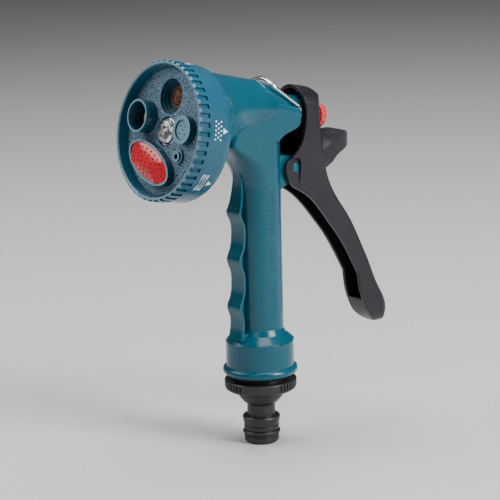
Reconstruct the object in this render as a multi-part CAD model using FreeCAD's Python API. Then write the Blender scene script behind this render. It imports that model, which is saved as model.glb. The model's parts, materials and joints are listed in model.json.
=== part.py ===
import FreeCAD, Part
import math
import os

# Rear-trigger hose spray nozzle. Row frame in mm: +Z up along the handle and
# hose tail, origin at the centre of the tail's bottom end face, the dial faces
# -Y (tilted up), the trigger is at +Y and X = 0 is the plane of symmetry.
#
# Head frame, used for all that lies along the dial axis: local X = row X,
# local Y = "up" across the axis, local Z points out of the dial's face.
# Depths along the axis are given as s, measured rearwards from the rim plane.

V = FreeCAD.Vector

# ---- driving dimensions -------------------------------------------------
HEAD_ORIGIN = V(0, -52.43, 148.50)   # centre of the dial's front rim
HEAD_TILT = 12.09                    # degrees the dial axis points up
OUTLET_R = 15.1                      # outlet circle, and height of the valve axis

# hose tail adaptor
TAIL_BORE_R = 4.8
TAIL_R = 7.8
TAIL_RIDGE_R = 8.5
TAIL_NECK_R = 6.35
FLANGE_R = 16.3
HUB_CORNER_R = 10.9
FLANGE_Z0, FLANGE_Z1 = 24.8, 29.8
THREAD_R = 12.8
SPIGOT_TOP = 40.5

# collar and handle
COLLAR_Z0, COLLAR_Z1 = 31.9, 48.3
COLLAR_R = 15.3
BEAD_R, BEAD_Z = 16.96, 34.3
COLLAR_BORE_R, COLLAR_ROOF = 13.0, 44.0
TUBE_Y = 0.6
TUBE_R_LOW, TUBE_R_TOP = 10.5, 10.4
TUBE_TOP = 143.0
WATERWAY_R = 7.0
PLATE_HALF = 4.5
NECK_HALF = 1.9
BLOCK_HALF = 10.55
BLOCK_FOOT = 138.0      # height where the block's flat sides start

# dial
DIAL_R = 30.3
RING_LEN = 17.6
KNURL_LEN, KNURL_COUNT = 5.4, 48
FLOOR_S, FLOOR_T = 5.0, 2.2
BACKPLATE_S, BACKPLATE_T = 15.0, 2.0
CAVITY_R = 27.3
HUB_R, HUB_BORE_R = 6.5, 4.10
POST_R = 4.05
WASHER_S = 6.05
CONE_DEG, MIST_DEG, STREAM_DEG, ROSE_DEG, JET_DEG = 0, 82, 129, 200, 288
ROSE_HALF_L, ROSE_HALF_W, ROSE_LEAN = 16.0, 7.75, -20
ROSE_WALL = 1.1

DETENT_UP = 23.6

# valve line
BELL_S = 17.9
CHAMBER_R, CHAMBER_S0, CHAMBER_S1 = 7.0, 24.0, 60.5
PORT_R = 3.6
BOSS_R, BOSS_END = 7.9, 71.0
GLAND_R = 5.0
STEM_R = 1.6
KNOB_S, KNOB_LEN, KNOB_R = 84.3, 5.2, 5.5
KNOB_HUB_R = 3.3
STEM_END = 88.0

# trigger
PIVOT_Y, PIVOT_Z = 16.8, 124.5
PIN_R = 2.3
LUG_HALF = 6.0
HOOD_HALF = 10.2
LEVER_WALL = 1.6
CHEEK_RECESS = 8.1        # x of the sunk face round the pin

# bail
BAIL_S, BAIL_UP = 68.9, 18.25
BAIL_HALF, WIRE_R = 8.3, 0.8
BAIL_LEG, BAIL_DEG = 14.2, 24.0
BAIL_ARCH_S, BAIL_ARCH_R, BAIL_ARCH_UP = 52.2, 12.95, 15.15

RUN = 0.05   # radial clearance of a running fit
EPS = 0.5    # overshoot of cutting tools


# ---- frames and small helpers -------------------------------------------
HEAD = FreeCAD.Placement(HEAD_ORIGIN, FreeCAD.Rotation(V(1, 0, 0), 90 - HEAD_TILT))


def to_row(shape):
    """Move a shape from the head frame to the row frame."""
    moved = shape.copy()
    moved.Placement = HEAD.multiply(moved.Placement)
    return moved


def polar(deg, radius=OUTLET_R):
    """Point on the dial face, degrees clockwise from 12 o'clock seen from the front."""
    a = math.radians(deg)
    return radius * math.sin(a), radius * math.cos(a)


def rod(r, s0, s1, x=0.0, up=0.0):
    """Cylinder along the dial axis between depths s0 and s1 (head frame)."""
    return Part.makeCylinder(r, s1 - s0, V(x, up, -s1), V(0, 0, 1))


def tube(r, r_in, s0, s1, x=0.0, up=0.0):
    return rod(r, s0, s1, x, up).cut(rod(r_in, s0 - EPS, s1 + EPS, x, up))


def turned(points, x=0.0, up=0.0):
    """Solid of revolution about the dial axis from (radius, s) corner points."""
    corners = [V(r + x, up, -s) for r, s in points]
    face = Part.Face(Part.makePolygon(corners + corners[:1]))
    return face.revolve(V(x, up, 0), V(0, 0, 1), 360)


def turned_z(points):
    """Solid of revolution about row Z from (radius, z) corner points."""
    corners = [V(r, 0, z) for r, z in points]
    face = Part.Face(Part.makePolygon(corners + corners[:1]))
    return face.revolve(V(0, 0, 0), V(0, 0, 1), 360)


def ring_z(r_mid, r_wire, z):
    return Part.makeTorus(r_mid, r_wire, V(0, 0, z), V(0, 0, 1))


def side_wire(runs):
    """Closed outline in the YZ plane. Each run is a list of (y, z): two points
    make a line, three an arc, more a smooth curve through them."""
    edges = []
    for run in runs:
        pts = [V(0, y, z) for y, z in run]
        if len(pts) == 2:
            edges.append(Part.makeLine(pts[0], pts[1]))
        elif len(pts) == 3:
            edges.append(Part.Arc(pts[0], pts[1], pts[2]).toShape())
        else:
            curve = Part.BSplineCurve()
            curve.interpolate(pts)
            edges.append(curve.toShape())
    return Part.Wire(edges)


def slab(runs, half):
    """The outline extruded to x = -half .. +half."""
    wire = side_wire(runs)
    wire.translate(V(-half, 0, 0))
    return Part.Face(wire).extrude(V(2 * half, 0, 0))


def circle_loft(sections):
    """Smooth loft through circles given as (s, radius, centre height)."""
    wires = []
    for s, r, up in sections:
        wires.append(Part.Wire(Part.makeCircle(r, V(0, up, -s), V(0, 0, 1))))
    return Part.makeLoft(wires, True, False)


def coil(r_mid, wire, s0, s1, turns, x=0.0, up=0.0):
    """Helical spring whose wire centre line runs from s0 to s1."""
    steps = int(turns * 12)
    points = []
    for k in range(steps + 1):
        angle = math.radians(30 * k)
        dx, du = r_mid * math.cos(angle), r_mid * math.sin(angle)
        points.append(V(x + dx, up + du, -s1 + k * (s1 - s0) / steps))
    curve = Part.BSplineCurve()
    curve.interpolate(points)
    section = Part.Wire(Part.makeCircle(wire, points[0], curve.tangent(curve.FirstParameter)[0]))
    return Part.Wire(curve.toShape()).makePipeShell([section], True, True)


def fuse_all(shapes):
    return shapes[0].multiFuse(shapes[1:]).removeSplitter()


def soften(shape, radius, test):
    """Fillet the edges that pass the test."""
    edges = [e for e in shape.Edges if test(e)]
    return shape.makeFillet(radius, edges)


# ---- housing: the one-piece moulded body ---------------------------------
BELL_TOP = [
    (17.9, 27.6, 27.7),
    (20.0, 25.4, 27.6),
    (24.0, 21.2, 27.5),
    (29.0, 17.6, 27.3),
    (35.0, 14.6, 27.2),
    (42.0, 12.7, 27.0),
    (49.0, 11.7, 26.75),
    (55.0, 10.6, 25.7),
    (60.0, 9.4, 24.5),
    (66.0, BOSS_R, 23.0),
    (BOSS_END, BOSS_R, 23.0),
]


def barrel():
    """Bell behind the dial running into the valve barrel and rear boss."""
    return circle_loft([(s, r, top - r) for s, r, top in BELL_TOP])


def bell_hollow():
    """The space inside the bell, less the port boss, centre post and detent boss."""
    wall = 2.6
    sections = [(s, r - wall, top - r) for s, r, top in BELL_TOP[:5]]
    sections[0] = (BELL_S - EPS, BELL_TOP[0][1] - wall, sections[0][2])
    hollow = circle_loft(sections)
    keep = [
        rod(CHAMBER_R + 2.2, BELL_S, 40, 0, OUTLET_R),
        rod(POST_R + 2.0, BELL_S, 40),
        rod(3.2, BELL_S, 40, 0, DETENT_UP),
    ]
    return hollow.cut(keep[0].multiFuse(keep[1:]))


def rounded_section(z, half, front, front_r, rear, rear_r):
    """Horizontal rounded rectangle: corner radii front_r at y = front, rear_r at y = rear."""
    k = 1 - math.sqrt(0.5)
    f, g = front_r, rear_r
    return Part.Wire([
        Part.makeLine(V(half, front + f, z), V(half, rear - g, z)),
        Part.Arc(V(half, rear - g, z), V(half - k * g, rear - k * g, z), V(half - g, rear, z)).toShape(),
        Part.makeLine(V(half - g, rear, z), V(g - half, rear, z)),
        Part.Arc(V(g - half, rear, z), V(k * g - half, rear - k * g, z), V(-half, rear - g, z)).toShape(),
        Part.makeLine(V(-half, rear - g, z), V(-half, front + f, z)),
        Part.Arc(V(-half, front + f, z), V(k * f - half, front + k * f, z), V(f - half, front, z)).toShape(),
        Part.makeLine(V(f - half, front, z), V(half - f, front, z)),
        Part.Arc(V(half - f, front, z), V(half - k * f, front + k * f, z), V(half, front + f, z)).toShape(),
    ])


def block_foot():
    """The block growing out of the round handle: (z, half width, front y, front corner radius)."""
    growth = [
        (112.0, 10.20, -9.0, 9.9), (117.0, 10.35, -9.5, 9.9), (122.0, 10.5, -10.1, 9.8),
        (126.5, BLOCK_HALF, -11.5, 9.2), (131.0, BLOCK_HALF, -14.3, 7.6), (134.8, BLOCK_HALF, -17.7, 5.2),
        (BLOCK_FOOT, BLOCK_HALF, -20.5, 3.1),
    ]
    sections = [rounded_section(z, half, front, r, 8.0, 7.0) for z, half, front, r in growth]
    return Part.makeLoft(sections, True, False)


def side_block():
    """Flat-sided block that joins barrel and handle, with a broad rounded edge."""
    outline = [
        [
            (-20.5, BLOCK_FOOT), (-20.0, 141.5), (-18.5, 145.6), (-15.9, 150.1),
            (-12.6, 153.2), (-8.4, 155.1), (-2.5, 155.8),
        ],
        [(-2.5, 155.8), (4.5, 155.2), (11.0, 153.6), (17.6, 151.4)],
        [(17.6, 151.4), (19.4, 149.3), (18.9, 146.6)],
        [(18.9, 146.6), (17.9, 143.3), (14.0, 141.3), (9.6, 139.9), (6.9, BLOCK_FOOT)],
        [(6.9, BLOCK_FOOT), (-20.5, BLOCK_FOOT)],
    ]
    block = slab(outline, BLOCK_HALF)
    sides = [e for e in block.Edges if abs(abs(e.CenterOfMass.x) - BLOCK_HALF) < 0.01]
    return block.makeFillet(2.2, [e for e in sides if e.CenterOfMass.z > BLOCK_FOOT + 0.1])


def handle_tube():
    shoulder = Part.makeCone(COLLAR_R, TUBE_R_LOW + 1.2, 3.2, V(0, TUBE_Y * 0.5, COLLAR_Z1 - 0.4))
    grip = Part.makeCone(TUBE_R_LOW, TUBE_R_TOP, TUBE_TOP - COLLAR_Z1, V(0, TUBE_Y, COLLAR_Z1))
    foot = Part.makeCone(TUBE_R_LOW + 1.2, TUBE_R_LOW, 2.5, V(0, TUBE_Y * 0.5, COLLAR_Z1 + 2.8))
    return [shoulder, grip, foot]


def collar():
    """Threaded collar with the round bead at its foot."""
    wall = turned_z([
        (0, COLLAR_Z0 + 0.3), (COLLAR_R, COLLAR_Z0 + 0.3), (COLLAR_R, COLLAR_Z1 - 0.8),
        (COLLAR_R - 0.8, COLLAR_Z1), (0, COLLAR_Z1),
    ])
    bead = Part.makeTorus(BEAD_R - 2.0, 2.0, V(0, 0, BEAD_Z), V(0, 0, 1))
    return [wall, bead]


def scallop_line():
    """Front line of the finger plate, from the block down to the collar."""
    crests = [(-13.4, 107.6), (-13.9, 85.8), (-14.4, 63.9), (-14.3, 49.6)]
    depths = [2.5, 2.4, 1.6]
    line = [(-16.2, 135.0), (-12.8, 130.4), (-11.1, 125.6), (-10.8, 120.4), (-11.6, 113.6)]
    line += [(-12.7, 109.4), crests[0]]
    for (y0, z0), (y1, z1), depth in zip(crests, crests[1:], depths):
        for share, part in ((0.22, 0.72), (0.5, 1.0), (0.8, 0.62)):
            line.append((y0 + share * (y1 - y0) + part * depth, z0 + share * (z1 - z0)))
        line.append((y1, z1))
    return line


def plate_front_view():
    """The finger plate seen from the front: it narrows to a ridge where it meets the block."""
    taper = [(PLATE_HALF, 104.0), (4.5, 108.0), (3.8, 113.5), (3.2, 119.0), (2.5, 125.0)]
    taper += [(2.0, 130.5), (1.8, 136.0)]
    curve = Part.BSplineCurve()
    curve.interpolate([V(x, -30, z) for x, z in taper])
    right = [Part.makeLine(V(PLATE_HALF, -30, 48.0), V(PLATE_HALF, -30, 104.0)), curve.toShape()]
    left = [e.mirror(V(0, 0, 0), V(1, 0, 0)) for e in right]
    top = Part.makeLine(V(1.8, -30, 136.0), V(-1.8, -30, 136.0))
    foot = Part.makeLine(V(-PLATE_HALF, -30, 48.0), V(PLATE_HALF, -30, 48.0))
    outline = Part.Wire(Part.__sortEdges__(right + [top] + left + [foot]))
    return Part.Face(outline).extrude(V(0, 40, 0))


def grip_plate():
    """Thin-edged finger plate in front of the handle, standing on a narrow neck."""
    front = scallop_line()
    full = slab([
        front,
        [front[-1], (0.0, 49.0)],
        [(0.0, 49.0), (0.0, 135.0)],
        [(0.0, 135.0), front[0]],
    ], PLATE_HALF + 1).common(plate_front_view())
    edge = 1.25
    rear = [(y + edge, z) for y, z in front[2:-1]]
    foot = rear[-1][1]
    groove_runs = [
        rear,
        [rear[-1], (2.0, foot)],
        [(2.0, foot), (2.0, rear[0][1])],
        [(2.0, rear[0][1]), rear[0]],
    ]
    groove = slab(groove_runs, PLATE_HALF + 2).cut(slab(groove_runs, NECK_HALF))
    return full.cut(groove)


def pivot_lug():
    """Lug behind the handle that carries the lever's pin."""
    round_end = Part.makeCylinder(5.2, 2 * LUG_HALF, V(-LUG_HALF, PIVOT_Y, PIVOT_Z), V(1, 0, 0))
    web = slab([
        [(2.0, 132.5), (12.5, 130.2)],
        [(12.5, 130.2), (PIVOT_Y, PIVOT_Z + 5.2)],
        [(PIVOT_Y, PIVOT_Z + 5.2), (PIVOT_Y, PIVOT_Z - 5.2)],
        [(PIVOT_Y, PIVOT_Z - 5.2), (2.0, 112.0)],
        [(2.0, 112.0), (2.0, 132.5)],
    ], LUG_HALF)
    return [round_end, web]


def body_shell():
    bell = to_row(barrel().cut(bell_hollow()))
    outside = [bell, side_block(), block_foot(), grip_plate()]
    solid = fuse_all(outside + handle_tube() + collar() + pivot_lug())
    inside_bell = to_row(bell_hollow())
    cuts = [
        inside_bell,
        Part.makeCylinder(COLLAR_BORE_R, COLLAR_ROOF - COLLAR_Z0 + EPS, V(0, 0, COLLAR_Z0 - EPS)),
        Part.makeCylinder(WATERWAY_R, 106.0, V(0, 0.6, COLLAR_ROOF - EPS)),
        Part.makeCylinder(PIN_R, 2 * LUG_HALF + 2, V(-LUG_HALF - 1, PIVOT_Y, PIVOT_Z), V(1, 0, 0)),
        to_row(rod(CHAMBER_R, CHAMBER_S0, CHAMBER_S1, 0, OUTLET_R)),
        to_row(rod(PORT_R, BELL_S - EPS, CHAMBER_S0 + EPS, 0, OUTLET_R)),
        to_row(rod(6.05, BELL_S - EPS, 21.0, 0, OUTLET_R)),
        to_row(rod(GLAND_R, CHAMBER_S1 - EPS, BOSS_END + EPS, 0, OUTLET_R)),
        to_row(rod(1.55, BELL_S - EPS, 25.0, 0, DETENT_UP)),
    ]
    for side in (-1, 1):
        hole = Part.makeCylinder(WIRE_R + RUN, 6.0, V(side * 5.5, BAIL_UP, -BAIL_S), V(side, 0, 0))
        cuts.append(to_row(hole))
    solid = solid.cut(cuts[0].multiFuse(cuts[1:]))
    post = rod(POST_R, WASHER_S, BELL_S + 6).cut(rod(1.9, WASHER_S - EPS, 17.0))
    return solid.fuse(to_row(post))


def pivot_pin():
    half = CHEEK_RECESS - 0.15
    pin = Part.makeCylinder(PIN_R, 2 * half, V(-half, PIVOT_Y, PIVOT_Z), V(1, 0, 0))
    return soften(pin, 0.4, lambda e: abs(abs(e.CenterOfMass.x) - half) < 0.01)


# ---- hose tail -------------------------------------------------------------
def hose_adaptor():
    profile = [
        (TAIL_BORE_R, 0), (6.9, 0), (TAIL_R, 0.9), (TAIL_R, 2.9), (6.6, 2.9), (6.6, 4.3),
        (TAIL_RIDGE_R - 0.2, 4.3), (TAIL_RIDGE_R, 4.6), (TAIL_RIDGE_R, 5.4), (8.1, 5.8),
        (7.5, 5.8), (7.5, 6.2), (7.95, 6.3), (7.95, 7.8), (7.55, 7.9), (7.55, 8.3), (7.95, 8.4),
        (TAIL_RIDGE_R, 11.2), (TAIL_RIDGE_R, 12.0), (TAIL_RIDGE_R - 0.4, 12.5),
        (TAIL_NECK_R, 12.6), (TAIL_NECK_R, 17.8), (6.9, 18.3), (8.2, 19.4),
        (HUB_CORNER_R - 0.3, 22.6), (HUB_CORNER_R, FLANGE_Z0 - 0.4), (FLANGE_R - 1.6, FLANGE_Z0),
        (FLANGE_R - 0.4, FLANGE_Z0 + 0.8), (FLANGE_R, FLANGE_Z0 + 2.0), (FLANGE_R, FLANGE_Z1 - 0.4),
        (FLANGE_R - 0.4, FLANGE_Z1), (THREAD_R - 0.8, FLANGE_Z1),
    ]
    pitch = 1.8
    for i in range(5):
        z = FLANGE_Z1 + 1.0 + i * pitch
        profile += [(THREAD_R - 0.8, z), (THREAD_R, z + 0.6), (THREAD_R, z + 1.0), (THREAD_R - 0.8, z + 1.6)]
    profile += [(THREAD_R - 0.8, SPIGOT_TOP), (10.0, SPIGOT_TOP), (10.0, 39.6), (TAIL_BORE_R, 36.0)]
    body = turned_z(profile)
    cuts = []
    for start in (22.0, 142.0, 262.0):
        for i in range(-4, 5):
            notch = Part.makeBox(1.2, 0.9, 3.6, V(FLANGE_R - 0.6, -0.45, FLANGE_Z0 + 0.9))
            notch.rotate(V(0, 0, 0), V(0, 0, 1), start + i * 6.5)
            cuts.append(notch)
    flats = 8
    for i in range(flats):
        across = HUB_CORNER_R * math.cos(math.pi / flats)
        flat = Part.makeBox(3.0, 12.0, FLANGE_Z0 - 18.0, V(across, -6.0, 17.4))
        flat.rotate(V(0, 0, 0), V(0, 0, 1), 7.0 + i * 360.0 / flats)
        cuts.append(flat)
    return body.cut(cuts[0].multiFuse(cuts[1:]))


def filter_screen():
    disc = Part.makeCylinder(9.9, 0.7, V(0, 0, 39.7))
    holes = [Part.makeCylinder(0.6, 2, V(0, 0, 39))]
    for ring_no in range(1, 5):
        for k in range(6 * ring_no):
            a = 2 * math.pi * k / (6 * ring_no)
            r = ring_no * 1.9
            holes.append(Part.makeCylinder(0.6, 2, V(r * math.cos(a), r * math.sin(a), 39)))
    return disc.cut(holes[0].multiFuse(holes[1:]))


def inlet_washer():
    return turned_z([(7.6, 40.6), (12.5, 40.6), (12.5, COLLAR_ROOF), (7.6, COLLAR_ROOF)])


# ---- dial --------------------------------------------------------------------
def rose_ellipse(half_l, half_w, s0, s1):
    """Oval prism of the rose, leaning across the face."""
    x, up = polar(ROSE_DEG)
    ellipse = Part.Ellipse(V(0, 0, 0), half_l, half_w)
    face = Part.Face(Part.Wire(ellipse.toShape()))
    body = face.extrude(V(0, 0, s1 - s0))
    body.rotate(V(0, 0, 0), V(0, 0, 1), ROSE_LEAN)
    body.translate(V(x, up, -s1))
    return body


def dial_shell():
    ring = turned([
        (28.8, 0.0), (29.7, 0.0), (DIAL_R, 0.7), (DIAL_R, KNURL_LEN), (29.9, KNURL_LEN + 0.3),
        (29.7, 15.0), (29.3, 16.4), (28.5, RING_LEN), (CAVITY_R, RING_LEN),
        (CAVITY_R, FLOOR_S + FLOOR_T), (0, FLOOR_S + FLOOR_T), (0, FLOOR_S),
        (27.6, FLOOR_S), (28.4, 0.5),
    ])
    slots = []
    for i in range(KNURL_COUNT):
        slot = Part.makeBox(2.0, 2.0, KNURL_LEN, V(DIAL_R - 0.85, -1.0, -KNURL_LEN + 0.3))
        slot.rotate(V(0, 0, 0), V(0, 0, 1), (i + 0.5) * 360.0 / KNURL_COUNT)
        slots.append(slot)
    back = BACKPLATE_S
    cx, cu = polar(CONE_DEG)
    mx, mu = polar(MIST_DEG)
    tx, tu = polar(STREAM_DEG)
    jx, ju = polar(JET_DEG, 15.4)
    add = [
        rod(9.0, FLOOR_S + 0.5, back, cx, cu),
        rod(6.1, 1.4, back, mx, mu),
        rod(2.3, 3.0, back, tx, tu),
        rod(3.1, 4.0, back, tx, tu),
        rod(7.1, -1.0, back, jx, ju),
        rose_ellipse(ROSE_HALF_L, ROSE_HALF_W, 1.4, back),
        rod(HUB_R, FLOOR_S + 0.5, BACKPLATE_S + BACKPLATE_T),
    ]
    cut = [
        rod(7.7, FLOOR_S - EPS, 6.2, cx, cu),
        rod(6.8, 6.2 - EPS, 7.4, cx, cu),
        rod(5.9, 7.4 - EPS, 8.6, cx, cu),
        rod(4.7, 8.6 - EPS, back + EPS, cx, cu),
        rod(4.3, 1.4 - EPS, back + EPS, mx, mu),
        rod(1.2, 3.0 - EPS, back + EPS, tx, tu),
        rod(6.3, -1.0 - EPS, back + EPS, jx, ju),
        rose_ellipse(ROSE_HALF_L - ROSE_WALL, ROSE_HALF_W - ROSE_WALL, 1.4 - EPS, back + EPS),
        rod(6.4, FLOOR_S - EPS, WASHER_S + RUN),
        rod(HUB_BORE_R, FLOOR_S, BACKPLATE_S + BACKPLATE_T + EPS),
    ]
    shell = ring.cut(slots[0].multiFuse(slots[1:]))
    shell = shell.multiFuse(add).cut(cut[0].multiFuse(cut[1:]))
    return to_row(shell.removeSplitter())


def dial_backplate():
    s0, s1 = BACKPLATE_S, BACKPLATE_S + BACKPLATE_T
    plate = tube(CAVITY_R - 0.1, HUB_R + 0.05, s0, s1)
    inner, outer = DETENT_UP - 1.2, DETENT_UP + 1.2
    cuts = [turned([(inner, s1 + EPS), (inner, s1 - 0.5), (outer, s1 - 0.5), (outer, s1 + EPS)])]
    for deg in (CONE_DEG, MIST_DEG, STREAM_DEG, ROSE_DEG, JET_DEG):
        x, up = polar(deg)
        cuts.append(rod(1.4 if deg == STREAM_DEG else 3.2, s0 - EPS, s1 + EPS, x, up))
        dx, du = polar(deg, DETENT_UP)
        cuts.append(Part.makeSphere(1.5, V(dx, du, -s1)))
    return to_row(plate.cut(cuts[0].multiFuse(cuts[1:])))


def rose_plate():
    """Domed oval plate with rings of small holes."""
    x, up = polar(ROSE_DEG)
    gap = 0.1
    half_l, half_w = ROSE_HALF_L - ROSE_WALL - gap, ROSE_HALF_W - ROSE_WALL - gap
    blank = rose_ellipse(half_l, half_w, -1.0, 3.4)
    long_r, crown = 62.0, 0.1
    dome = Part.makeCylinder(long_r, 60, V(0, -30, -crown - long_r), V(0, 1, 0))
    cross_r = 16.0
    cross = Part.makeCylinder(cross_r, 80, V(-40, 0, -crown - cross_r), V(1, 0, 0))
    cap = dome.common(cross)
    cap.rotate(V(0, 0, 0), V(0, 0, 1), ROSE_LEAN)
    cap.translate(V(x, up, 0))
    plate = blank.common(cap)
    lean = math.radians(ROSE_LEAN)
    holes = []
    for share, count in ((0.0, 1), (0.28, 6), (0.52, 14), (0.78, 22)):
        for k in range(count):
            a = 2 * math.pi * (k + 0.5) / count
            p, q = share * half_l * math.cos(a), share * half_w * math.sin(a)
            hx = x + p * math.cos(lean) - q * math.sin(lean)
            hu = up + p * math.sin(lean) + q * math.cos(lean)
            holes.append(rod(0.42, -1.5, 4.5, hx, hu))
    return to_row(plate.cut(holes[0].multiFuse(holes[1:])))


def cone_core():
    """Insert at the foot of the stepped outlet, with a flared mouth."""
    x, up = polar(CONE_DEG)
    core = turned([
        (4.65, 8.7), (4.65, 14.9), (1.2, 14.9), (1.2, 12.5), (2.2, 11.2), (3.9, 9.3), (3.9, 8.7),
    ], x, up)
    plug = turned([
        (0, 9.8), (1.5, 9.8), (1.9, 10.6), (1.9, 11.0), (0.9, 12.6), (0.9, 14.9), (0, 14.9),
    ], x, up)
    bridge = Part.makeBox(7.4, 0.9, 1.2, V(x - 3.7, up - 0.45, -11.8))
    return to_row(core.multiFuse([plug, bridge]).removeSplitter())


def mist_insert():
    x, up = polar(MIST_DEG)
    disc = rod(4.2, 2.1, 3.4, x, up).fuse(tube(4.2, 3.2, 3.4, 9.0, x, up))
    holes = [rod(0.35, 1.5, 4.0, x, up)]
    for k in range(4):
        dx, du = polar(90 * k + 45, 2.3)
        holes.append(rod(0.35, 1.5, 4.0, x + dx, up + du))
    return to_row(disc.cut(holes[0].multiFuse(holes[1:])).removeSplitter())


def jet_insert():
    x, up = polar(JET_DEG, 15.4)
    return to_row(turned([
        (1.5, 5.0), (3.0, 5.0), (3.8, 6.0), (3.9, 8.6), (6.2, 9.2), (6.2, 11.0), (2.4, 11.0), (1.5, 8.0),
    ], x, up))


# ---- dial retention and sealing (stay with the housing) ---------------------
def dial_screw():
    head = turned([
        (0, 3.1), (2.6, 3.15), (4.4, 3.5), (5.4, 4.3), (5.6, 5.5), (1.88, 5.5), (1.88, 16.5), (0, 16.5),
    ])
    arms = []
    for deg in (22, 112):
        arm = Part.makeBox(6.0, 1.3, 1.6, V(-3.0, -0.65, -4.4))
        arm.rotate(V(0, 0, 0), V(0, 0, 1), deg)
        arms.append(arm)
    return to_row(head.cut(arms[0].fuse(arms[1])))


def screw_washer():
    return to_row(tube(5.9, 2.0, 5.5, WASHER_S))


def port_seal():
    return to_row(tube(5.95, 3.7, 17.05, 19.6, 0, OUTLET_R))


def port_seal_spring():
    return to_row(coil(4.8, 0.3, 19.95, 20.65, 1.0, 0, OUTLET_R))


def detent_ball():
    return to_row(Part.makeSphere(1.5, V(0, DETENT_UP, -18.05)))


def detent_spring():
    return to_row(coil(1.1, 0.25, 19.85, 24.7, 5, 0, DETENT_UP))


# ---- valve line --------------------------------------------------------------
def valve_seat():
    return to_row(turned([
        (PORT_R, CHAMBER_S0), (CHAMBER_R, CHAMBER_S0), (CHAMBER_R, 26.6),
        (4.8, 26.6), (4.3, 27.6), (PORT_R, 27.6),
    ], 0, OUTLET_R))


def valve_stem():
    return to_row(turned([
        (0, 26.0), (1.2, 26.0), (STEM_R, 26.4), (STEM_R, 26.95), (1.15, 26.95), (1.15, 27.5),
        (STEM_R, 27.5), (STEM_R, 31.4), (2.6, 31.4), (2.6, 32.4), (STEM_R, 32.4),
        (STEM_R, STEM_END), (0, STEM_END),
    ], 0, OUTLET_R))


def stem_clip():
    clip = tube(2.7, 1.15, 26.98, 27.46, 0, OUTLET_R)
    mouth = Part.makeBox(1.6, 4, 2, V(-0.8, OUTLET_R - 4, -28))
    return to_row(clip.cut(mouth))


def valve_seal():
    return to_row(tube(5.6, STEM_R, 27.65, 30.2, 0, OUTLET_R))


def seal_cup():
    return to_row(tube(6.0, STEM_R, 30.2, 31.4, 0, OUTLET_R))


def return_spring():
    return to_row(coil(4.4, 0.7, 32.15, 59.75, 6, 0, OUTLET_R))


def gland_nut():
    nut = turned([
        (3.1, CHAMBER_S1), (GLAND_R, CHAMBER_S1), (GLAND_R, BOSS_END), (6.9, BOSS_END), (6.9, BOSS_END + 2.6),
        (STEM_R + RUN, BOSS_END + 2.6), (STEM_R + RUN, 62.3), (3.1, 62.3),
    ], 0, OUTLET_R)
    across = 6.0
    hexagon = [V(across / math.cos(math.pi / 6) * math.sin(math.pi / 3 * k),
                 OUTLET_R + across / math.cos(math.pi / 6) * math.cos(math.pi / 3 * k),
                 -BOSS_END - 4) for k in range(6)]
    prism = Part.Face(Part.makePolygon(hexagon + hexagon[:1])).extrude(V(0, 0, 4))
    envelope = prism.fuse(rod(GLAND_R, CHAMBER_S1 - 1, BOSS_END, 0, OUTLET_R))
    return to_row(nut.common(envelope).removeSplitter())


def stem_o_ring():
    return to_row(Part.makeTorus(2.35, 0.7, V(0, OUTLET_R, -61.4), V(0, 0, 1)))


def knob_washer():
    return to_row(tube(3.2, STEM_R + RUN, KNOB_S - 0.5, KNOB_S - 0.05, 0, OUTLET_R))


def adjusting_knob():
    end = KNOB_S + KNOB_LEN
    bore = STEM_R + 2 * RUN
    cap = turned([
        (bore, KNOB_S), (KNOB_HUB_R, KNOB_S), (KNOB_HUB_R, KNOB_S + 0.9), (KNOB_R - 0.4, KNOB_S + 0.9),
        (KNOB_R, KNOB_S + 1.3), (KNOB_R, end - 2.2),
        (KNOB_R - 0.35, end - 1.4), (KNOB_R - 1.3, end - 0.65), (2.8, end - 0.15), (0, end),
        (0, STEM_END + 0.5), (bore, STEM_END + 0.5),
    ], 0, OUTLET_R)
    flutes = []
    for k in range(12):
        dx, du = polar(30 * k, KNOB_R + 0.55)
        flutes.append(rod(0.9, KNOB_S - EPS, end - 1.9, dx, OUTLET_R + du))
    return to_row(cap.cut(flutes[0].multiFuse(flutes[1:])))


# ---- trigger lever -------------------------------------------------------------
# (z, half width, rear y, rear corner radius) up the lever from toe to hood
LEVER_SECTIONS = [
    (43.0, 5.6, 69.6, 4.0), (47.5, 6.0, 72.0, 4.5), (52.0, 6.2, 72.7, 4.7), (56.5, 6.2, 71.1, 4.3),
    (61.5, 6.1, 68.0, 3.4), (67.0, 6.0, 64.9, 2.6), (73.8, 6.0, 61.9, 2.2),
    (81.0, 6.1, 58.4, 2.2), (88.0, 6.2, 54.9, 2.2),
    (97.4, 6.4, 49.6, 2.2), (106.0, 7.0, 43.2, 2.4), (113.0, 7.8, 38.6, 2.8), (120.0, 8.7, 35.6, 3.6),
    (127.0, 9.4, 34.4, 4.6), (133.0, 9.8, 33.6, 5.2), (138.0, 10.1, 32.7, 5.5), (142.3, HOOD_HALF, 32.1, 5.5),
    (147.0, HOOD_HALF, 31.75, 5.5), (152.0, HOOD_HALF, 31.4, 5.5), (157.5, HOOD_HALF, 31.1, 5.5),
    (163.0, HOOD_HALF, 31.0, 5.5),
]
SOLID_TOE = 57.0     # the arm is a channel above this height


def lever_core(inset):
    """Smooth solid through the lever's sections, reaching forward past its front edge."""
    sections = []
    for z, half, rear, corner in LEVER_SECTIONS:
        r = corner - inset * 0.9
        sections.append(rounded_section(z, half - inset, rear - 33.0, 1.0, rear - inset, r))
    return Part.makeLoft(sections, True, False)


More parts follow.
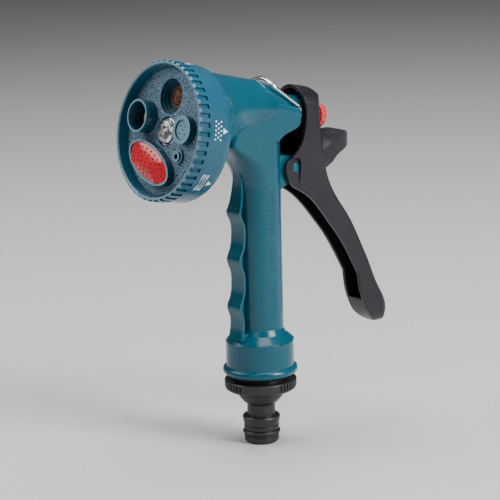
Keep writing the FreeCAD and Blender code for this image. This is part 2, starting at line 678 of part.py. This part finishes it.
def lever_outline(inset):
    """Side outline of arm, cheeks and hood; with an inset it is open to the front."""
    i = inset
    crown = [
        (26.0 - 0.6 * i, 162.0), (28.4 - 0.8 * i, 159.4 - 0.8 * i),
        (30.2 - 0.9 * i, 156.8 - 0.5 * i), (31.2 - i, 153.0 - 0.2 * i),
    ]
    behind = [[crown[-1], (75.0, 150.0)], [(75.0, 150.0), (75.0, 50.0)]]
    if inset:
        return slab([crown] + behind + [
            [(75.0, 50.0), (0.0, 50.0)], [(0.0, 50.0), (0.0, 162.0)], [(0.0, 162.0), crown[0]],
        ], 14)
    front = [
        (54.3, 69.6), (51.8, 74.3), (47.0, 82.8), (41.6, 90.8), (36.9, 96.7), (30.1, 105.0), (24.4, 110.4),
        (19.4, 113.6), (15.4, 116.0), (12.3, 119.4), (10.8, 123.4), (11.3, 127.0), (13.6, 129.5),
        (16.2, 132.1),
        (18.6, 135.4), (20.4, 140.8), (21.2, 146.4), (21.3, 151.6), (20.9, 155.8), (21.6, 162.0),
    ]
    return slab([crown] + behind + [
        [(75.0, 50.0), (73.0, 47.0), (70.4, 45.1), (67.6, 44.5), (65.0, 45.4)],
        [(65.0, 45.4), (61.2, 48.8), (57.8, 54.8), (55.6, 61.0), (54.7, 65.6), (54.3, 69.6)],
        front,
        [front[-1], crown[0]],
    ], 14)


def rounded_foot():
    """Front view of the lever: open above, with a half-round end at the toe."""
    right = [(3.6, 45.5), (5.6, 48.2), (6.5, 51.6), (7.5, 56.0)]
    curve = Part.BSplineCurve()
    left = [V(-x, 0, z) for x, z in right[::-1]]
    curve.interpolate(left + [V(0, 0, 44.4)] + [V(x, 0, z) for x, z in right])
    corners = [V(7.5, 0, 56.0), V(14, 0, 58), V(14, 0, 170), V(-14, 0, 170), V(-14, 0, 58), V(-7.5, 0, 56.0)]
    sides = [Part.makeLine(corners[k], corners[k + 1]) for k in range(5)]
    return Part.Face(Part.Wire(Part.__sortEdges__([curve.toShape()] + sides))).extrude(V(0, 90, 0))


def hood_arch(shrink):
    """Arched tunnel along the valve axis that rounds the hood's top."""
    r = HOOD_HALF + 0.6 - shrink
    centre = 16.6
    corners = [V(-r, centre, 5), V(-r, -130, 5), V(r, -130, 5), V(r, centre, 5)]
    edges = [Part.makeLine(corners[k], corners[k + 1]) for k in range(3)]
    edges.append(Part.Arc(corners[3], V(0, centre + r, 5), corners[0]).toShape())
    return to_row(Part.Face(Part.Wire(edges)).extrude(V(0, 0, -175)))


def spur():
    """Rounded thumb spur behind the lever."""
    side = slab([
        [(26.0, 139.4), (36.5, 139.2), (43.0, 138.7), (47.6, 137.6)],
        [(47.6, 137.6), (50.6, 136.0), (52.1, 133.7), (51.6, 131.6), (49.4, 130.0)],
        [(49.4, 130.0), (45.4, 128.9), (41.6, 127.6), (38.4, 125.7), (36.0, 122.8), (33.5, 117.0)],
        [(33.5, 117.0), (26.0, 139.4)],
    ], 12.0)
    plan = Part.BSplineCurve()
    half_plan = [V(9.7, 24, 0), V(9.5, 32, 0), V(8.5, 38, 0), V(6.7, 44, 0), V(4.4, 49.0, 0)]
    plan.interpolate(half_plan + [V(0, 52.3, 0)] + [V(-p.x, p.y, 0) for p in half_plan[::-1]])
    edges = [plan.toShape(), Part.makeLine(V(-9.7, 24, 0), V(9.7, 24, 0))]
    shape = side.common(Part.Face(Part.Wire(edges)).extrude(V(0, 0, 200)))
    crown_r = 9.6
    crown = Part.makeCylinder(crown_r, 60, V(0, 10, 139.4 - crown_r), V(0, 1, -0.015))
    return shape.common(crown)


def cheek_recess():
    """Shallow sunk face round the pin on both cheeks."""
    outline = [
        [(5.0, 129.3), (15.5, 129.3)],
        [(15.5, 129.3), (17.6, 128.5), (18.4, 126.4)],
        [(18.4, 126.4), (18.2, 117.2)],
        [(18.2, 117.2), (21.0, 112.0)],
        [(21.0, 112.0), (5.0, 112.0)],
        [(5.0, 112.0), (5.0, 129.3)],
    ]
    return slab(outline, 12.0).cut(slab(outline, CHEEK_RECESS))


def lever():
    """Hood over the valve's rear boss, cheeks at the pin, and the channel-section arm."""
    outer = lever_core(0).common(lever_outline(0)).common(hood_arch(0)).common(rounded_foot())
    channel = lever_core(LEVER_WALL).common(lever_outline(LEVER_WALL)).common(hood_arch(LEVER_WALL))
    channel = channel.cut(Part.makeBox(30, 90, SOLID_TOE, V(-15, 0, 0)))
    hole = Part.makeCylinder(PIN_R + RUN, 2 * CHEEK_RECESS, V(-CHEEK_RECESS, PIVOT_Y, PIVOT_Z), V(1, 0, 0))
    slot = rod(2.3, 74, 100, 0, OUTLET_R).fuse(rod(2.3, 74, 100, 0, OUTLET_R + 3.7))
    slot = to_row(slot.fuse(Part.makeBox(4.6, 3.7, 26, V(-2.3, OUTLET_R, -100))))
    seat = to_row(rod(KNOB_HUB_R + 0.4, KNOB_S - 0.95, KNOB_S + 6, 0, OUTLET_R))
    return outer.fuse(spur()).cut(channel.multiFuse([hole, slot, seat, cheek_recess()])).removeSplitter()


# ---- bail ------------------------------------------------------------------------
def wire_bail():
    """Bent wire: two hooked feet, two straight legs and a crossbar arched over the barrel."""
    foot_in, b, small = 5.9, BAIL_HALF, 1.2
    rise = math.radians(BAIL_DEG)
    along = V(0, math.sin(rise), math.cos(rise))
    foot = V(b, BAIL_UP, -BAIL_S)
    k = math.sqrt(0.5)
    half_arc = foot + V(small * k - small, 0, 0) + along * (small - small * k)
    leg_start = foot + along * small
    leg = [foot + along * length for length in (BAIL_LEG - 3.0, BAIL_LEG - 1.5, BAIL_LEG)]
    bend = [V(8.16, 25.02, -53.75), V(7.35, 25.93, -52.55)]
    arch = [V(x, BAIL_ARCH_UP + math.sqrt(BAIL_ARCH_R ** 2 - x * x), -BAIL_ARCH_S) for x in (5.6, 2.8)]
    half_curve = leg + bend + arch
    crest = V(0, BAIL_ARCH_UP + BAIL_ARCH_R, -BAIL_ARCH_S)
    curve = Part.BSplineCurve()
    curve.interpolate(half_curve + [crest] + [V(-p.x, p.y, p.z) for p in half_curve[::-1]])
    edges = [
        Part.makeLine(V(foot_in, foot.y, foot.z), foot - V(small, 0, 0)),
        Part.Arc(foot - V(small, 0, 0), half_arc, leg_start).toShape(),
        Part.makeLine(leg_start, leg[0]),
    ]
    other = [e.mirror(V(0, 0, 0), V(1, 0, 0)) for e in edges]
    path = Part.Wire(Part.__sortEdges__(edges + [curve.toShape()] + other))
    section = Part.Wire(Part.makeCircle(WIRE_R, V(foot_in, foot.y, foot.z), V(1, 0, 0)))
    return to_row(path.makePipeShell([section], True, False))


PARTS = {
    "body_shell": body_shell,
    "pivot_pin": pivot_pin,
    "hose_adaptor": hose_adaptor,
    "tail_o_ring": lambda: ring_z(7.3, 0.65, 3.6),
    "filter_screen": filter_screen,
    "inlet_washer": inlet_washer,
    "dial_shell": dial_shell,
    "dial_backplate": dial_backplate,
    "rose_plate": rose_plate,
    "cone_core": cone_core,
    "mist_insert": mist_insert,
    "jet_insert": jet_insert,
    "dial_screw": dial_screw,
    "screw_washer": screw_washer,
    "port_seal": port_seal,
    "port_seal_spring": port_seal_spring,
    "detent_ball": detent_ball,
    "detent_spring": detent_spring,
    "valve_seat": valve_seat,
    "valve_stem": valve_stem,
    "stem_clip": stem_clip,
    "valve_seal": valve_seal,
    "seal_cup": seal_cup,
    "return_spring": return_spring,
    "gland_nut": gland_nut,
    "stem_o_ring": stem_o_ring,
    "knob_washer": knob_washer,
    "adjusting_knob": adjusting_knob,
    "lever": lever,
    "wire_bail": wire_bail,
}

os.makedirs("parts", exist_ok=True)
for name, make in PARTS.items():
    shape = make()
    if len(shape.Solids) == 1:
        shape = shape.Solids[0]
    print(name, len(shape.Solids), shape.isValid(), round(shape.Volume, 1))
    shape.exportStep("parts/%s.step" % name)
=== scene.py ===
import json
import math

import bmesh
import bpy
from mathutils import Matrix, Vector


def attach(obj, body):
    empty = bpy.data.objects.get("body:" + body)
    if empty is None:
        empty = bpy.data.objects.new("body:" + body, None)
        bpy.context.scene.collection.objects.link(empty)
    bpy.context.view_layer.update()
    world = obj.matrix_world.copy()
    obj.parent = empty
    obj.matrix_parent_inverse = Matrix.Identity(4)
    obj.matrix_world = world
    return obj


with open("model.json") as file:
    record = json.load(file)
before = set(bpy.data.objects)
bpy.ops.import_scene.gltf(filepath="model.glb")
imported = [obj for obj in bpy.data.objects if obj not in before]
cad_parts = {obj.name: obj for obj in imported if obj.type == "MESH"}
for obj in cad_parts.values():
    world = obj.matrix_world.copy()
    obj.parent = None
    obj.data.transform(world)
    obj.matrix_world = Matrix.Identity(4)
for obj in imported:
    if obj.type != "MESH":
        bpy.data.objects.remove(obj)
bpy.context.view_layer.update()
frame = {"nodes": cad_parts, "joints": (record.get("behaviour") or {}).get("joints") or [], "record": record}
NODES = frame["nodes"]

# ---- frame of the dial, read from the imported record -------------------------
JOINTS = {j["name"]: j for j in frame["joints"]}
FACE = Vector(JOINTS["dial_turn"]["axis"]).normalized()      # out of the dial's face
FACE_C = Vector(JOINTS["dial_turn"]["pos_m"])                # centre of its front rim
FACE_UP = Vector((1, 0, 0)).cross(FACE) * -1
OUTLETS = {"cone": 0, "mist": 82, "stream": 129, "rose": 200, "jet": 288}   # degrees clockwise from 12


def on_dial(angle, radius, depth):
    """Point at an angle clockwise from 12 o'clock, a radius and a depth behind the rim, in metres."""
    a = math.radians(angle)
    return FACE_C + Vector((1, 0, 0)) * radius * math.sin(a) + FACE_UP * radius * math.cos(a) - FACE * depth


# ---- material helpers ---------------------------------------------------------
class Tree:
    """A small wrapper that makes node trees readable."""

    def __init__(self, name):
        self.mat = bpy.data.materials.new(name)
        self.mat.use_nodes = True
        self.t = self.mat.node_tree
        self.bsdf = self.t.nodes["Principled BSDF"]
        self.coord = self.new("ShaderNodeTexCoord").outputs["Object"]

    def new(self, kind, **props):
        node = self.t.nodes.new(kind)
        for key, value in props.items():
            setattr(node, key, value)
        return node

    def link(self, a, b):
        self.t.links.new(a, b)

    def noise(self, scale, detail=3.0, rough=0.5):
        n = self.new("ShaderNodeTexNoise")
        n.inputs["Scale"].default_value = scale
        n.inputs["Detail"].default_value = detail
        n.inputs["Roughness"].default_value = rough
        self.link(self.coord, n.inputs["Vector"])
        return n.outputs["Fac"]

    def cells(self, scale):
        n = self.new("ShaderNodeTexVoronoi")
        n.inputs["Scale"].default_value = scale
        self.link(self.coord, n.inputs["Vector"])
        return n.outputs["Distance"]

    def math(self, op, a, b=None):
        n = self.new("ShaderNodeMath", operation=op)
        for i, v in enumerate((a, b)):
            if v is None:
                continue
            if isinstance(v, (int, float)):
                n.inputs[i].default_value = v
            else:
                self.link(v, n.inputs[i])
        return n.outputs[0]

    def ramp(self, value, lo, hi, out_lo=0.0, out_hi=1.0):
        n = self.new("ShaderNodeMapRange")
        self.link(value, n.inputs["Value"])
        for key, v in (("From Min", lo), ("From Max", hi), ("To Min", out_lo), ("To Max", out_hi)):
            n.inputs[key].default_value = v
        return n.outputs["Result"]

    def mix(self, fac, a, b):
        n = self.new("ShaderNodeMix", data_type="RGBA")
        for i, v in ((0, fac), (6, a), (7, b)):
            if isinstance(v, tuple):
                n.inputs[i].default_value = (*v, 1)
            elif isinstance(v, (int, float)):
                n.inputs[i].default_value = v
            else:
                self.link(v, n.inputs[i])
        return n.outputs[2]

    def bump(self, height, strength, distance, normal=None):
        n = self.new("ShaderNodeBump")
        n.inputs["Strength"].default_value = strength
        n.inputs["Distance"].default_value = distance
        self.link(height, n.inputs["Height"])
        if normal is not None:
            self.link(normal, n.inputs["Normal"])
        return n.outputs["Normal"]

    def soft_edge(self, radius):
        n = self.new("ShaderNodeBevel", samples=6)
        n.inputs["Radius"].default_value = radius
        return n.outputs["Normal"]

    def depth(self):
        """Distance behind the dial's rim plane, in metres."""
        n = self.new("ShaderNodeVectorMath", operation="DOT_PRODUCT")
        self.link(self.coord, n.inputs[0])
        n.inputs[1].default_value = -FACE
        return self.math("ADD", n.outputs["Value"], FACE.dot(FACE_C))

    def off_axis(self):
        """Distance from the dial's axis, in metres."""
        sub = self.new("ShaderNodeVectorMath", operation="SUBTRACT")
        self.link(self.coord, sub.inputs[0])
        sub.inputs[1].default_value = FACE_C
        cross = self.new("ShaderNodeVectorMath", operation="CROSS_PRODUCT")
        self.link(sub.outputs[0], cross.inputs[0])
        cross.inputs[1].default_value = FACE
        size = self.new("ShaderNodeVectorMath", operation="LENGTH")
        self.link(cross.outputs[0], size.inputs[0])
        return size.outputs["Value"]

    def facing(self, direction):
        n = self.new("ShaderNodeVectorMath", operation="DOT_PRODUCT")
        geo = self.new("ShaderNodeTexCoord")
        self.link(geo.outputs["Normal"], n.inputs[0])
        n.inputs[1].default_value = direction
        return n.outputs["Value"]

    def set(self, **values):
        for key, v in values.items():
            self.bsdf.inputs[key.replace("_", " ")].default_value = v


ROUGH_DRIFT = 0.05
PEEL_HEIGHT = 0.00012        # metres


def moulded(name, dark, light, rough, edge=0.00035, grain=0.10, coat=0.0, shine=0.5):
    """Moulded plastic: faint orange peel, slow colour drift, roughness drift and softened edges."""
    m = Tree(name)
    drift = m.ramp(m.noise(38, 4, 0.6), 0.32, 0.68)
    m.link(m.mix(drift, dark, light), m.bsdf.inputs["Base Color"])
    patches = m.noise(210, 3, 0.6)
    m.link(m.ramp(patches, 0.3, 0.7, rough - ROUGH_DRIFT, rough + ROUGH_DRIFT), m.bsdf.inputs["Roughness"])
    peel = m.math("ADD", m.noise(1500, 2, 0.5), m.math("MULTIPLY", m.noise(260, 2, 0.5), 0.8))
    m.link(m.bump(peel, grain, PEEL_HEIGHT, m.soft_edge(edge)), m.bsdf.inputs["Normal"])
    m.set(Coat_Weight=coat, Coat_Roughness=0.12, Specular_IOR_Level=shine)
    return m


def metal(name, color, rough):
    """Bare or plated metal: slow drift in colour and roughness, and softened edges."""
    m = Tree(name)
    drift = m.ramp(m.noise(300, 3, 0.6), 0.3, 0.7)
    darker = tuple(c * 0.78 for c in color)
    m.link(m.mix(drift, darker, color), m.bsdf.inputs["Base Color"])
    m.link(m.ramp(m.noise(900, 3, 0.6), 0.3, 0.7, rough * 0.7, rough * 1.4), m.bsdf.inputs["Roughness"])
    m.link(m.bump(m.noise(1800, 2, 0.5), 0.03, 0.00002, m.soft_edge(0.0002)), m.bsdf.inputs["Normal"])
    m.set(Metallic=1.0)
    return m


RECESS_R = 0.0272             # radius of the recess in the dial's face, in metres
RECESS_DEPTH = 0.0050         # its floor's depth behind the rim
# painted shade: dark colour for the recess walls and the holes below the recess floor
DIAL_PAINTED_SHADE = (0.005, 0.034, 0.054)
# painted highlight: pale colour for the front-facing tops of raised parts and the rim
DIAL_PAINTED_HIGHLIGHT = (0.200, 0.340, 0.420)
# painted sheen: pale colour for the flecks on the stippled floor
DIAL_FLECK_SHEEN = (0.190, 0.280, 0.370)


def dial_plastic():
    """Blue-teal dial: stippled floor in the recess with pale flecks painted on as sheen, painted shade on
    the recess walls and in the holes below its floor, and a painted highlight on the tops of everything
    raised.
    """
    m = moulded("dial_teal", (0.010, 0.070, 0.118), (0.014, 0.088, 0.142), 0.28,
                edge=0.0003, coat=0.16, shine=0.28)
    depth, off, ahead = m.depth(), m.off_axis(), m.facing(FACE)
    inside = m.ramp(off, RECESS_R + 0.0004, RECESS_R)
    flat_on = m.ramp(ahead, 0.85, 0.95)
    above_floor = m.ramp(depth, RECESS_DEPTH - 0.0006, RECESS_DEPTH - 0.0002)
    below_floor = m.ramp(depth, RECESS_DEPTH + 0.0006, RECESS_DEPTH + 0.0002)
    deep = m.math("MULTIPLY", above_floor, below_floor)
    floor_mask = m.math("MULTIPLY", m.math("MULTIPLY", deep, inside), flat_on)
    # painted shade: mask of the steep walls inside the recess
    steep = m.math("MULTIPLY", m.ramp(ahead, 0.6, 0.3), inside)
    painted_shade_walls = m.math("MULTIPLY", steep, m.ramp(depth, 0.0002, 0.0012))
    # painted highlight: mask of front-facing faces in front of the recess floor
    painted_highlight_tops = m.math("MULTIPLY", m.ramp(ahead, 0.45, 0.8), m.ramp(depth, 0.0046, 0.0043))
    stipple = m.math("SUBTRACT", 1.0, m.cells(1350))
    color = m.bsdf.inputs["Base Color"].links[0].from_socket
    # painted shade: mask of the holes deeper than the recess floor
    painted_shade_pits = m.math("MULTIPLY", m.ramp(depth, 0.0058, 0.0064), inside)
    # paints the shade onto the recess walls and holes
    color = m.mix(m.math("MULTIPLY", m.math("MAXIMUM", painted_shade_walls, painted_shade_pits), 0.8), color, DIAL_PAINTED_SHADE)
    # paints the highlight onto those tops
    color = m.mix(m.math("MULTIPLY", painted_highlight_tops, 0.85), color, DIAL_PAINTED_HIGHLIGHT)
    # pale flecks painted on the recess floor as sheen; the stipple's bump further down is real
    color = m.mix(m.math("MULTIPLY", floor_mask, m.ramp(stipple, 0.25, 0.70)), color, DIAL_FLECK_SHEEN)
    m.link(color, m.bsdf.inputs["Base Color"])
    rough = m.bsdf.inputs["Roughness"].links[0].from_socket
    m.link(m.math("ADD", rough, m.math("MULTIPLY", floor_mask, 0.10)), m.bsdf.inputs["Roughness"])
    normal = m.bsdf.inputs["Normal"].links[0].from_socket
    m.link(m.bump(m.math("MULTIPLY", stipple, floor_mask), 0.9, 0.00035, normal), m.bsdf.inputs["Normal"])
    return m


MATS = {
    "body_teal": moulded("body_teal", (0.002, 0.062, 0.094), (0.004, 0.078, 0.117), 0.25,
                         grain=0.04, coat=0.22, shine=0.25),
    "dial_teal": dial_plastic(),
    "adaptor_black": moulded("adaptor_black", (0.008, 0.008, 0.010), (0.014, 0.014, 0.016), 0.40,
                             grain=0.25),
    "lever_black": moulded("lever_black", (0.007, 0.007, 0.010), (0.012, 0.011, 0.017), 0.36,
                           edge=0.0006, grain=0.18, shine=0.38),
    "red_plastic": moulded("red_plastic", (0.54, 0.012, 0.022), (0.64, 0.020, 0.032), 0.27,
                           edge=0.0004, coat=0.25),
    "seal_rubber": moulded("seal_rubber", (0.007, 0.007, 0.007), (0.013, 0.013, 0.013), 0.6, grain=0.35),
    "screen_white": moulded("screen_white", (0.60, 0.60, 0.56), (0.70, 0.70, 0.66), 0.5),
    "core_brass": metal("core_brass", (0.26, 0.140, 0.085), 0.42),
    "plated_steel": metal("plated_steel", (0.93, 0.94, 0.95), 0.18),
    "spring_steel": metal("spring_steel", (0.50, 0.50, 0.52), 0.30),
    "bright_wire": metal("bright_wire", (0.95, 0.95, 0.96), 0.10),
    "mark_white": moulded("mark_white", (0.78, 0.80, 0.80), (0.86, 0.88, 0.88), 0.45, edge=0.00005),
}

for part in frame["record"]["subparts"]:
    ob = NODES[part["node"]]
    ob.data.materials.clear()
    ob.data.materials.append(MATS[part["material_slot"]].mat)


# ---- pieces -------------------------------------------------------------------
MM = 0.001
PRINT_LIFT = 0.04 * MM        # how far the print on the dial stands proud
DASH_LIFT = 0.16 * MM         # how far the dashes on the handle stand proud
BAND_R = 0.0299               # radius of the dial's smooth band at its front edge
BAND_MIDDLE = 0.0105          # the band's middle, behind the rim
BAND_FRONT = 0.0057           # the band's front edge, behind the rim
BAND_TAPER = 0.0002 / 0.0093  # how much the band narrows rearwards, per metre
HANDLE_R = 0.01046            # radius of the handle tube under the dashes
HANDLE_Y = 0.0006             # the tube's axis, off the row's origin
FIRST_DASH_Z = 0.1165


def piece(name, bm, mat, body):
    """Make an object from a bmesh, free the bmesh, and hand the object to its body and slot."""
    bmesh.ops.recalc_face_normals(bm, faces=bm.faces[:])
    mesh = bpy.data.meshes.new(name)
    bm.to_mesh(mesh)
    bm.free()
    ob = bpy.data.objects.new(name, mesh)
    bpy.context.scene.collection.objects.link(ob)
    mesh.materials.append(MATS[mat].mat)
    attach(ob, body)


def raised_polygon(bm, outline, place, lift, step=0.0006):
    """A thin raised shape: a filled outline in flat (across, along) metres, laid on a curved surface."""
    flat = bmesh.new()
    verts = [flat.verts.new((x, y, 0)) for x, y in outline]
    flat.faces.new(verts)
    bmesh.ops.triangulate(flat, faces=flat.faces[:])
    for _ in range(2):
        long_edges = [e for e in flat.edges if e.calc_length() > step]
        if long_edges:
            bmesh.ops.subdivide_edges(flat, edges=long_edges, cuts=1)
    top, low = {}, {}
    for v in flat.verts:
        top[v] = bm.verts.new(place(v.co.x, v.co.y, lift))
        low[v] = bm.verts.new(place(v.co.x, v.co.y, -lift))
    for f in flat.faces:
        bm.faces.new([top[v] for v in f.verts])
        bm.faces.new([low[v] for v in reversed(f.verts)])
    for e in flat.edges:
        if len(e.link_faces) == 1:
            a, b = e.verts
            bm.faces.new([top[a], low[a], low[b], top[b]])
    flat.free()


def band_place(angle):
    """Maps flat metres to the dial's band: x runs clockwise, y runs rearwards from the band's middle."""
    def place(x, y, lift):
        radius = BAND_R - BAND_TAPER * (y + BAND_MIDDLE - BAND_FRONT)
        return on_dial(angle + math.degrees(x / BAND_R), radius + lift, BAND_MIDDLE + y)
    return place


def bar(x0, y0, x1, y1, width):
    """Outline of a straight stroke."""
    d = Vector((x1 - x0, y1 - y0)).normalized() * width / 2
    n = Vector((-d.y, d.x))
    return [(x0 + n.x, y0 + n.y), (x0 - n.x, y0 - n.y), (x1 - n.x, y1 - n.y), (x1 + n.x, y1 + n.y)]


def dot(x, y, r, sides=10):
    """Outline of a small round dot."""
    turn = [2 * math.pi * k / sides for k in range(sides)]
    return [(x + r * math.cos(a), y + r * math.sin(a)) for a in turn]


def pictogram(kind):
    """Generic spray pictures made of dots and strokes, in millimetres."""
    shapes = []
    if kind == "mist":
        for row, count in ((-2.0, 5), (-0.6, 4), (0.8, 5)):
            for k in range(count):
                shapes.append(dot((k - (count - 1) / 2) * 1.9, row, 0.42))
    if kind == "stream":
        for k in (-1, 0, 1):
            shapes.append(bar(-4.6, k * 1.3 - 0.8, 4.6, k * 1.3 - 0.8, 0.62))
    if kind == "cone":
        for k in (-2, -1, 0, 1, 2):
            shapes.append(bar(k * 0.7, 1.2, k * 2.0, -2.6, 0.6))
    if kind == "rose":
        for k in range(-3, 4):
            shapes.append(bar(k * 1.5, 0.9, k * 1.7, -0.4, 0.55))
            shapes.append(bar(k * 1.8, -1.3, k * 2.0, -2.6, 0.55))
    if kind == "jet":
        shapes.append(bar(-5.0, -0.8, 5.0, -0.8, 1.1))
    return [[(x * MM, y * MM) for x, y in s] for s in shapes]


marks = bmesh.new()
for kind, angle in OUTLETS.items():
    place = band_place(angle)
    for shape in pictogram(kind):
        raised_polygon(marks, shape, place, PRINT_LIFT)
    triangle = [(-1.35 * MM, 2.0 * MM), (1.35 * MM, 2.0 * MM), (0, 4.3 * MM)]
    raised_polygon(marks, triangle, place, PRINT_LIFT)
piece("dial_marks", marks, "mark_white", "dial")


def handle_place(x, y, lift):
    """Maps flat metres to the +X side of the handle: x runs rearwards, y runs down from the top dash."""
    angle, reach = x / HANDLE_R, HANDLE_R + lift
    return Vector((reach * math.cos(angle), HANDLE_Y + reach * math.sin(angle), FIRST_DASH_Z - y))


def lozenge(x0, x1, y, half):
    """Outline of a dash with rounded ends."""
    turn = [math.pi * (0.5 + k / 6) for k in range(7)]
    left = [(x0 + half * math.cos(a), y + half * math.sin(a)) for a in turn]
    return left + [(x1 - half * math.cos(a), y - half * math.sin(a)) for a in turn]


# raised dashes down the side of the handle, in three groups with plain gaps between them
DASH_GROUPS = ((0, 10), (11.5, 7), (20.5, 8))      # first step and count of each group
DASH_REACHES = (1.5, 1.1, 1.35)                    # half lengths, in turn, in millimetres
DASH_STEP = 2.05 * MM
DASH_HALF = 0.38 * MM
dashes = bmesh.new()
for first, count in DASH_GROUPS:
    for k in range(count):
        reach = DASH_REACHES[k % 3] * MM
        outline = lozenge(-reach, reach, (first + k) * DASH_STEP, DASH_HALF)
        raised_polygon(dashes, outline, handle_place, DASH_LIFT)
piece("handle_dashes", dashes, "body_teal", "housing")


# ---- camera -------------------------------------------------------------------
AZ, EL, ROLL = math.radians(52.148), math.radians(12.493), math.radians(-1.342)
CAMERA_DISTANCE = 0.9
AIM_HEIGHT = 0.088531         # height of the point on the handle's axis that the camera faces
SENSOR_MM = 36.0
LENS_MM = 145.49285
SHIFT_X = -0.015106           # share of the picture's width
back = Vector((math.sin(AZ) * math.cos(EL), -math.cos(AZ) * math.cos(EL), math.sin(EL)))
right = Vector((math.cos(AZ), math.sin(AZ), 0))
up = back.cross(right)
right_r = right * math.cos(ROLL) + up * math.sin(ROLL)
up_r = up * math.cos(ROLL) - right * math.sin(ROLL)
cam_data = bpy.data.cameras.new("camera")
cam_data.sensor_width = SENSOR_MM
cam_data.lens = LENS_MM
cam_data.shift_x = SHIFT_X
cam_data.clip_end = 20
cam = bpy.data.objects.new("camera", cam_data)
pose = Matrix((right_r, up_r, back)).transposed().to_4x4()
pose.translation = Vector((0, 0, AIM_HEIGHT)) + back * CAMERA_DISTANCE
cam.matrix_world = pose
bpy.context.scene.collection.objects.link(cam)
bpy.context.scene.camera = cam


# ---- stage and light ------------------------------------------------------------
MIDDLE = Vector((0, 0, 0.10))
WORLD_UP = Vector((0, 0, 1))
FLOOR_HALF = 4
SKY_GREY = (0.42, 0.42, 0.43, 1)
SKY_STRENGTH = 0.22


def area_light(name, offset, size, size_y, power):
    """A soft rectangle of light, aimed at the object's middle from an offset."""
    data = bpy.data.lights.new(name, "AREA")
    data.shape = "RECTANGLE"
    data.size = size
    data.size_y = size_y
    data.energy = power
    ob = bpy.data.objects.new(name, data)
    ob.location = MIDDLE + offset
    ob.rotation_euler = (-offset).to_track_quat("-Z", "Y").to_euler()
    bpy.context.scene.collection.objects.link(ob)


floor_mesh = bpy.data.meshes.new("floor")
corners = [(x * FLOOR_HALF, y * FLOOR_HALF, 0) for x, y in ((-1, -1), (1, -1), (1, 1), (-1, 1))]
floor_mesh.from_pydata(corners, [], [(0, 1, 2, 3)])
floor = bpy.data.objects.new("floor", floor_mesh)
bpy.context.scene.collection.objects.link(floor)
floor_tree = Tree("floor_pale")
floor_grey = floor_tree.mix(floor_tree.noise(3, 2), (0.50, 0.50, 0.50), (0.52, 0.52, 0.52))
floor_tree.link(floor_grey, floor_tree.bsdf.inputs["Base Color"])
floor_tree.set(Roughness=0.8, Specular_IOR_Level=0.2)
floor_mesh.materials.append(floor_tree.mat)

world = bpy.data.worlds.new("studio")
world.use_nodes = True
sky = world.node_tree.nodes["Background"]
sky.inputs["Color"].default_value = SKY_GREY
sky.inputs["Strength"].default_value = SKY_STRENGTH
bpy.context.scene.world = world

area_light("key_right", right * 0.9 + back * 0.55 + WORLD_UP * 0.55, 0.45, 0.9, 26)
area_light("fill_left", right * -0.80 + WORLD_UP * 0.62, 0.7, 0.5, 5.5)
area_light("fill_front", right * -0.35 + back * 1.1 + WORLD_UP * 0.45, 0.6, 0.6, 1.6)
area_light("overhead", WORLD_UP * 1.1 - back * 0.1, 0.9, 0.9, 15)
